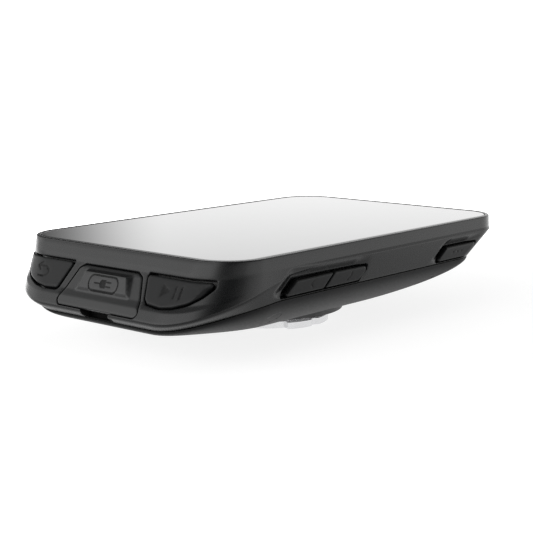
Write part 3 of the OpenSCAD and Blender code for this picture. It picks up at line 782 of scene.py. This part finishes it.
CAST = finish_of("cast_metal", (0.35, 0.36, 0.38), (0.5, 0.51, 0.53), (0.4, 0.6), 1400, 1.2e-5, metallic=1.0)
BOARD = finish_of("circuit_board", (0.006, 0.06, 0.025), (0.012, 0.1, 0.045), (0.35, 0.55), 700, 8e-6, 400)
SCREW = finish_of("screw_steel", (0.45, 0.46, 0.48), (0.62, 0.63, 0.65), (0.2, 0.34), 2500, 3e-6,
                  metallic=1.0,
                  stretch=(1, 1, 4))
TINNED = finish_of("tinned_steel", (0.5, 0.5, 0.49), (0.68, 0.68, 0.66), (0.28, 0.42), 1800, 3e-6,
                   metallic=1.0)
CERAMIC = finish_of("antenna_ceramic", (0.5, 0.42, 0.25), (0.62, 0.54, 0.36), (0.5, 0.7), 900, 6e-6)
CHIP = finish_of("chip_plastic", (0.012, 0.012, 0.013), (0.025, 0.025, 0.027), (0.45, 0.6), 1600, 6e-6)
CELL = finish_of("cell_foil", (0.45, 0.46, 0.47), (0.6, 0.61, 0.62), (0.3, 0.45), 500, 1.5e-5, metallic=0.8)
FOAM = finish_of("foam", (0.6, 0.58, 0.5), (0.75, 0.73, 0.66), (0.85, 0.95), 1500, 4e-5)
PAD = finish_of("pad_plastic", (0.014, 0.014, 0.015), (0.022, 0.022, 0.023), (0.42, 0.55), 2000, 4e-6)
FOOT = finish_of("foot_metal", (0.7, 0.7, 0.71), (0.85, 0.85, 0.86), (0.14, 0.24), 2200, 3e-6, metallic=1.0)

NODE_FINISH = {
    "housing_seal": SEAL_RUBBER, "housing_screws": BLACK_STEEL, "glass_adhesive": ADHESIVE,
    "touch_panel": DISPLAY,
    "lcd_panel": DISPLAY, "backlight": WHITE_PLASTIC, "display_flex": FLEX, "midframe": CAST,
    "main_board": BOARD,
    "board_screws": SCREW, "processor_can": TINNED, "radio_can": TINNED, "gps_antenna": CERAMIC,
    "wireless_antenna": FLEX, "light_sensor": CHIP, "buzzer": CHIP, "usb_port": TINNED,
    "port_gasket": SEAL_RUBBER,
    "flap_anchor": FLAP_RUBBER, "key_seals": SEAL_RUBBER, "front_switches": CHIP, "side_switches": CHIP,
    "battery": CELL, "battery_pad": FOAM, "battery_plug": WHITE_PLASTIC, "vent_membrane": WHITE_PLASTIC,
    "foot_plate": TINNED, "foot_pad": PAD, "quarter_turn_foot": FOOT, "foot_screws": SCREW,
}
for node_name, finish in NODE_FINISH.items():
    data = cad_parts[node_name].data
    if not data.materials:
        data.materials.append(finish)
    for i in range(len(data.materials)):
        data.materials[i] = finish


def softened(node_name, width, angle=40.0):
    """Rounds a carried-over CAD node's edges."""
    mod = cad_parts[node_name].modifiers.new("edges", "BEVEL")
    mod.width = width * MM
    mod.segments = 3
    mod.limit_method = "ANGLE"
    mod.angle_limit = math.radians(angle)
    mod.harden_normals = True


softened("foot_pad", 0.25)
softened("quarter_turn_foot", 0.2)
softened("foot_screws", 0.12)
softened("usb_port", 0.06)


# --- the pieces ---------------------------------------------------------------------------------

def placed(obj, body, node):
    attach(obj, body)
    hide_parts(node)
    return obj


shell = front_shell(PLASTIC)
PORT_W, PORT_H, PORT_Z = 9.24, 3.5, 15.2
PORT_Y = (-56, -43)
NOTCH_Y = (-57, -50.9)
NOTCH_BOX = ((-4.6, 4.6), (-53.4, -50.8), (7.8, 10.0))


def slot_outline(w, h, z, n=12):
    """Rounded slot in x, z, centred on x = 0."""
    r = h / 2
    left = [(-(w / 2 - r) + r * math.cos(a), z + r * math.sin(a))
            for a in np.linspace(math.pi / 2, 1.5 * math.pi, n)]
    right = [(w / 2 - r + r * math.cos(a), z + r * math.sin(a))
             for a in np.linspace(-math.pi / 2, math.pi / 2, n)]
    return np.array(left + right)


def along_y(outline, ys, grow=None):
    """Rings of an x, z outline at these y places."""
    grow = grow or [0] * len(ys)
    return [np.column_stack([offset(outline, g)[:, 0], np.full(len(outline), y), offset(outline, g)[:, 1]])
            for y, g in zip(ys, grow)]


port = slot_outline(PORT_W, PORT_H, PORT_Z)
port_cut = outward(make("cutter", *capped(along_y(port, PORT_Y)), PLASTIC))
notch = rounded([(-4.4, 9.9, 0.2), (-3.5, 7.9, 0.7), (3.5, 7.9, 0.7), (4.4, 9.9, 0.2)])
notch_cut = outward(make("cutter", *capped(along_y(notch, NOTCH_Y)), NOTCH_SHADE))
shell.data.materials.append(NOTCH_SHADE)
shell = cutaway(shell, [port_cut, notch_cut])
# Faces of the finger notch take the near-black painted shade material.
for face in shell.data.polygons:
    if all(low < place < high for place, (low, high) in zip(face.center / MM, NOTCH_BOX)):
        face.material_index = 1
placed(shell, "device", "front_housing")
rear, blank = rear_shell(REAR_PLASTIC)
placed(rear, "device", "rear_housing")
placed(screw_plugs(blank, REAR_PLASTIC), "device", "screw_plugs")
bpy.data.objects.remove(blank)
placed(glass_plate(GLASS), "device", "cover_glass")

play = [on_front([(15.9, 14.4, 0.12), (18.25, 15.6, 0.12), (15.9, 16.8, 0.12)], 0.15)]
bars = [front_stroke([(19.6, 14.65), (19.6, 16.6)], 0.5), front_stroke([(21.1, 14.65), (21.1, 16.6)], 0.5)]
start_ink = [play] + bars
arrow = [(-21.4, 14.5), (-19.5, 14.5), (-18.5, 14.85), (-18.15, 15.4), (-18.5, 16.0), (-19.5, 16.4),
         (-21.9, 16.4)]
arrow_head = [(-21.0, 17.15), (-22.2, 16.4), (-21.0, 15.65)]
back_ink = [front_stroke(arrow, 0.4), front_stroke(arrow_head, 0.4)]


def outer_bevel(points):
    """Wide chamfer that grows towards a front key's outer end."""
    d = distance(points, START_KEY)
    return -0.8 * ease((np.abs(points[:, 0]) - 22) / 4) * ease((d + 1.7) / 1.7) * ease((17.6
                                                                                        - points[:, 1]) / 1.2)


start = tile("start_button", START_KEY, KEY_EDGE, KEY_T, KEY_PLASTIC,
             both(outer_bevel, engraving(start_ink, 0.12)),
             [offset(START_KEY, -1.7), offset(START_KEY, -0.9)], INK, start_ink)
placed(start, "start", "start_key")
back = tile("back_button", BACK_KEY, KEY_EDGE, KEY_T, KEY_PLASTIC, engraving(back_ink, 0.12), (), INK,
            back_ink)
placed(back, "back", "back_key")

chevron_back = [side_stroke([(-21.9, 14.15), (-22.6, 14.85), (-21.7, 15.5)], 0.34)]
chevron_next = [side_stroke([(-10.2, 14.05), (-9.0, 14.8), (-8.9, 15.5)], 0.34)]
dots = [[on_side([(y - 0.35, 14.6, 0.3), (y + 0.35, 14.6, 0.3), (y + 0.35, 15.2, 0.3),
                  (y - 0.35, 15.2, 0.3)], 0.12)]
        for y in (31.0, 32.8, 34.5)]
page_back = tile("page_back_button", PAGE_BACK_KEY, KEY_EDGE, KEY_T, KEY_PLASTIC,
                 engraving(chevron_back, 0.12), (), INK,
                 chevron_back)
placed(page_back, "page_back", "page_back_key")
page_next = tile("page_next_button", PAGE_NEXT_KEY, KEY_EDGE, KEY_T, KEY_PLASTIC,
                 engraving(chevron_next, 0.12), (), INK,
                 chevron_next)
placed(page_next, "page_next", "page_next_key")
menu = tile("menu_button", MENU_KEY, KEY_EDGE, KEY_T, KEY_PLASTIC, engraving(dots, 0.12), (), INK, dots)
placed(menu, "menu", "menu_key")

PLATEAU = on_front([(-6.9, 17.35, 0.9), (-8.5, 12.75, 0.5), (8.5, 12.75, 0.5), (6.9, 17.35, 0.9)], 0.25)
PLATEAU_WALL = ((-0.95, 1.0), (-0.85, 0.97), (-0.12, 0.06), (0.0, 0.0))
plateau = Step(PLATEAU, PLATEAU_WALL)
PILL = on_front([(-4.3, 16.15, 1.35), (-4.3, 13.35, 1.35), (4.3, 13.35, 1.35), (4.3, 16.15, 1.35)], 0.25)
pill_ink = [[offset(PILL, 0.17), offset(PILL, -0.17)]]
plug_icon = [front_stroke([(-2.6, 14.75), (-0.9, 14.75)], 0.3),
             [on_front([(-1.0, 14.0, 0.6), (0.8, 14.0, 0.1), (0.8, 15.5, 0.1), (-1.0, 15.5, 0.6)], 0.15)],
             front_stroke([(0.95, 14.35), (2.2, 14.35)], 0.3), front_stroke([(0.95, 15.15),
                                                                             (2.2, 15.15)], 0.3)]
flap_ink = pill_ink + plug_icon


def plateau_height(points):
    rise = 0.3 + 0.7 * np.clip((points[:, 1] - 12.9) / 4.3, 0, 1)
    return 1.15 * rise * plateau(points)


def hinge_edge(points):
    """Rounds the flap's top edge away, so that it clears the chin when it opens."""
    return -0.16 * ease((points[:, 1] - 17.4) / 0.6)


flap = tile("port_cover", FLAP, FLAP_EDGE, FLAP_T, FLAP_RUBBER,
            both(plateau_height, hinge_edge, engraving(flap_ink, 0.14)), plateau.rings, INK, flap_ink)
plug_shape = slot_outline(7.5, 1.9, PORT_Z)
plug_rows = along_y(plug_shape, (-49.6, -47.6, -47.35, -47.25), (0, 0, -0.1, -0.3))
plug = outward(make("port_plug", *capped(plug_rows), FLAP_RUBBER))
placed(flap, "flap", "port_flap")
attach(plug, "flap")


# --- stage, light and camera ---------------------------------------------------------------------
# This is not a plain studio: the floor glows unevenly and the sky's brightness depends on direction.
# Both were set for the camera's view, so reflections look less even from other sides.

floor_finish = finish_of("floor", (0.24, 0.24, 0.24), (0.26, 0.26, 0.26), (0.8, 0.9), 30, 0, 3, specular=0.0)


# Painted light: no lamp lies under the floor, yet its emission makes it glow. The glow fills in the object's
# shadow, and it is weaker near the object than further out, a painted shade in what the object's faces
# reflect.
def painted_floor_glow(finish, near, start, end):
    """Makes a floor glow: dimmer near the object, stronger further out, most beside and behind it."""
    tree = finish.node_tree
    bsdf = tree.nodes["Principled BSDF"]
    bsdf.inputs["Emission Color"].default_value = (1, 1, 1, 1)

    def new(kind, operation=None):
        n = tree.nodes.new(kind)
        if operation:
            n.operation = operation
        return n

    def eased(value, low, high, first, last):
        n = new("ShaderNodeMapRange")
        n.interpolation_type = "SMOOTHSTEP"
        tree.links.new(value, n.inputs["Value"])
        for name, number in (("From Min", low), ("From Max", high), ("To Min", first), ("To Max", last)):
            n.inputs[name].default_value = number
        return n

    place = new("ShaderNodeTexCoord").outputs["Object"]
    squeezed = new("ShaderNodeMapping")
    squeezed.inputs["Scale"].default_value = (1, 0.6, 1)
    tree.links.new(place, squeezed.inputs["Vector"])
    length = new("ShaderNodeVectorMath", "LENGTH")
    tree.links.new(squeezed.outputs[0], length.inputs[0])
    ahead = new("ShaderNodeSeparateXYZ")
    tree.links.new(place, ahead.inputs[0])
    rising = eased(ahead.outputs["Y"], -0.1, 0.0, 1.5, 3.6)
    falling = eased(ahead.outputs["Y"], 0.02, 0.14, 1.0, 0.5)
    far = new("ShaderNodeMath", "MULTIPLY")
    tree.links.new(rising.outputs[0], far.inputs[0])
    tree.links.new(falling.outputs[0], far.inputs[1])
    glow = eased(length.outputs["Value"], start, end, near, near)
    tree.links.new(far.outputs[0], glow.inputs["To Max"])
    tree.links.new(glow.outputs[0], bsdf.inputs["Emission Strength"])


GLOW_NEAR = 0.85
GLOW_START, GLOW_END = 0.07, 0.11
painted_floor_glow(floor_finish, GLOW_NEAR, GLOW_START, GLOW_END)
FLOOR_HALF = 60.0
corners = [(-FLOOR_HALF, -FLOOR_HALF, 0), (FLOOR_HALF, -FLOOR_HALF, 0), (FLOOR_HALF, FLOOR_HALF, 0),
           (-FLOOR_HALF, FLOOR_HALF, 0)]
floor = make("floor", [tuple(c / MM for c in p) for p in corners], [(0, 1, 2, 3)], floor_finish)

CAMERA_AT = Vector((190.197, -220.611, 62.518)) * MM
LOOK_AT = Vector((37.735, -43.782, 22.0)) * MM
ROLL = math.radians(0.085)
camera_data = bpy.data.cameras.new("camera")
camera_data.lens = 85.35
camera_data.sensor_width = 36.0
camera_data.clip_start, camera_data.clip_end = 0.01, 200.0
camera = bpy.data.objects.new("camera", camera_data)
bpy.context.scene.collection.objects.link(camera)
camera.rotation_mode = "QUATERNION"
aim = (LOOK_AT - CAMERA_AT).to_track_quat("-Z", "Y")
camera.location = CAMERA_AT
camera.rotation_quaternion = aim @ Quaternion((0, 0, 1), -ROLL)
bpy.context.scene.camera = camera

sun_data = bpy.data.lights.new("overhead", "SUN")
sun_data.energy = 0.4
sun_data.angle = math.radians(70)
sun = bpy.data.objects.new("overhead", sun_data)
sun.rotation_euler = (math.radians(-12), math.radians(6), 0)
bpy.context.scene.collection.objects.link(sun)

world = bpy.data.worlds.new("studio")
bpy.context.scene.world = world
world.use_nodes = True
tree = world.node_tree
background = tree.nodes["Background"]


def node(kind, *inputs, operation=None):
    n = tree.nodes.new(kind)
    if operation:
        n.operation = operation
    for i, value in enumerate(inputs):
        if isinstance(value, (int, float, tuple)):
            n.inputs[i].default_value = value
        elif value is not None:
            tree.links.new(value, n.inputs[i])
    return n


def math_node(operation, *inputs):
    return node("ShaderNodeMath", *inputs, operation=operation).outputs[0]


def smooth(value, low, high, start, end):
    n = node("ShaderNodeMapRange", value, float(low), float(high), float(start), float(end))
    n.interpolation_type = "SMOOTHSTEP"
    return n.outputs[0]


direction = tree.nodes.new("ShaderNodeTexCoord").outputs["Generated"]
parts = node("ShaderNodeSeparateXYZ", direction).outputs
flat = math_node("SQRT", math_node("ADD", math_node("MULTIPLY", parts[0], parts[0]),
                                   math_node("MULTIPLY", parts[1], parts[1])))


def facing(azimuth):
    """Cosine of the angle between the direction and an azimuth, 0 towards -Y and 90 towards +X."""
    a = math.radians(azimuth)
    along = math_node("ADD", math_node("MULTIPLY", parts[0], math.sin(a)),
                      math_node("MULTIPLY", parts[1], -math.cos(a)))
    return math_node("DIVIDE", along, math_node("MAXIMUM", flat, 0.001))


# Brightness by height: behind and beside the object, and towards the front
SKY = ((0.0, 1.7), (0.165, 1.7), (0.225, 1.05), (0.34, 0.95), (0.62, 0.8), (0.82, 0.36), (1.0, 0.25))
FRONT_SKY = ((0.0, 2.0), (0.2, 4.4), (0.3, 3.6), (0.5, 3.2), (0.577, 2.4), (0.65, 1.3), (0.74, 0.6),
             (1.0, 0.35))


def by_height(levels):
    """Light level against the height of the direction, 0 at the horizon and 1 overhead."""
    ramp = node("ShaderNodeValToRGB", parts[2])
    while len(ramp.color_ramp.elements) < len(levels):
        ramp.color_ramp.elements.new(0.5)
    for element, (place, level) in zip(ramp.color_ramp.elements, levels):
        element.position = place
        element.color = (level, level, level, 1)
    return node("ShaderNodeRGBToBW", ramp.outputs[0]).outputs[0]


def times(*factors):
    out = factors[0]
    for factor in factors[1:]:
        out = math_node("MULTIPLY", out, factor)
    return out


# Behind, the sky is dimmer away from the far side, which grades the reflection in the glass
away = smooth(facing(-179.2), 0.635, 0.715, 0.12, 1.0)
above = smooth(parts[2], 0.05, 0.1, 0, 1)
grading = math_node("SUBTRACT", 1.0, times(math_node("SUBTRACT", 1.0, away), above))
to_front = smooth(facing(-30), 0.2, 0.75, 0, 1)
slant = smooth(facing(-10), 0.6, 0.95, 0.55, 1.3)
back_sky = times(by_height(SKY), grading, math_node("SUBTRACT", 1.0, to_front))
sky = math_node("ADD", back_sky, times(by_height(FRONT_SKY), slant, to_front))
# A dark flag at the front right
flag = smooth(facing(40.8), 0.88, 0.985, 1, 0.5)
tree.links.new(times(sky, flag), background.inputs["Strength"])
background.inputs["Color"].default_value = (1, 1, 1, 1)

bpy.context.scene.view_settings.view_transform = "Standard"
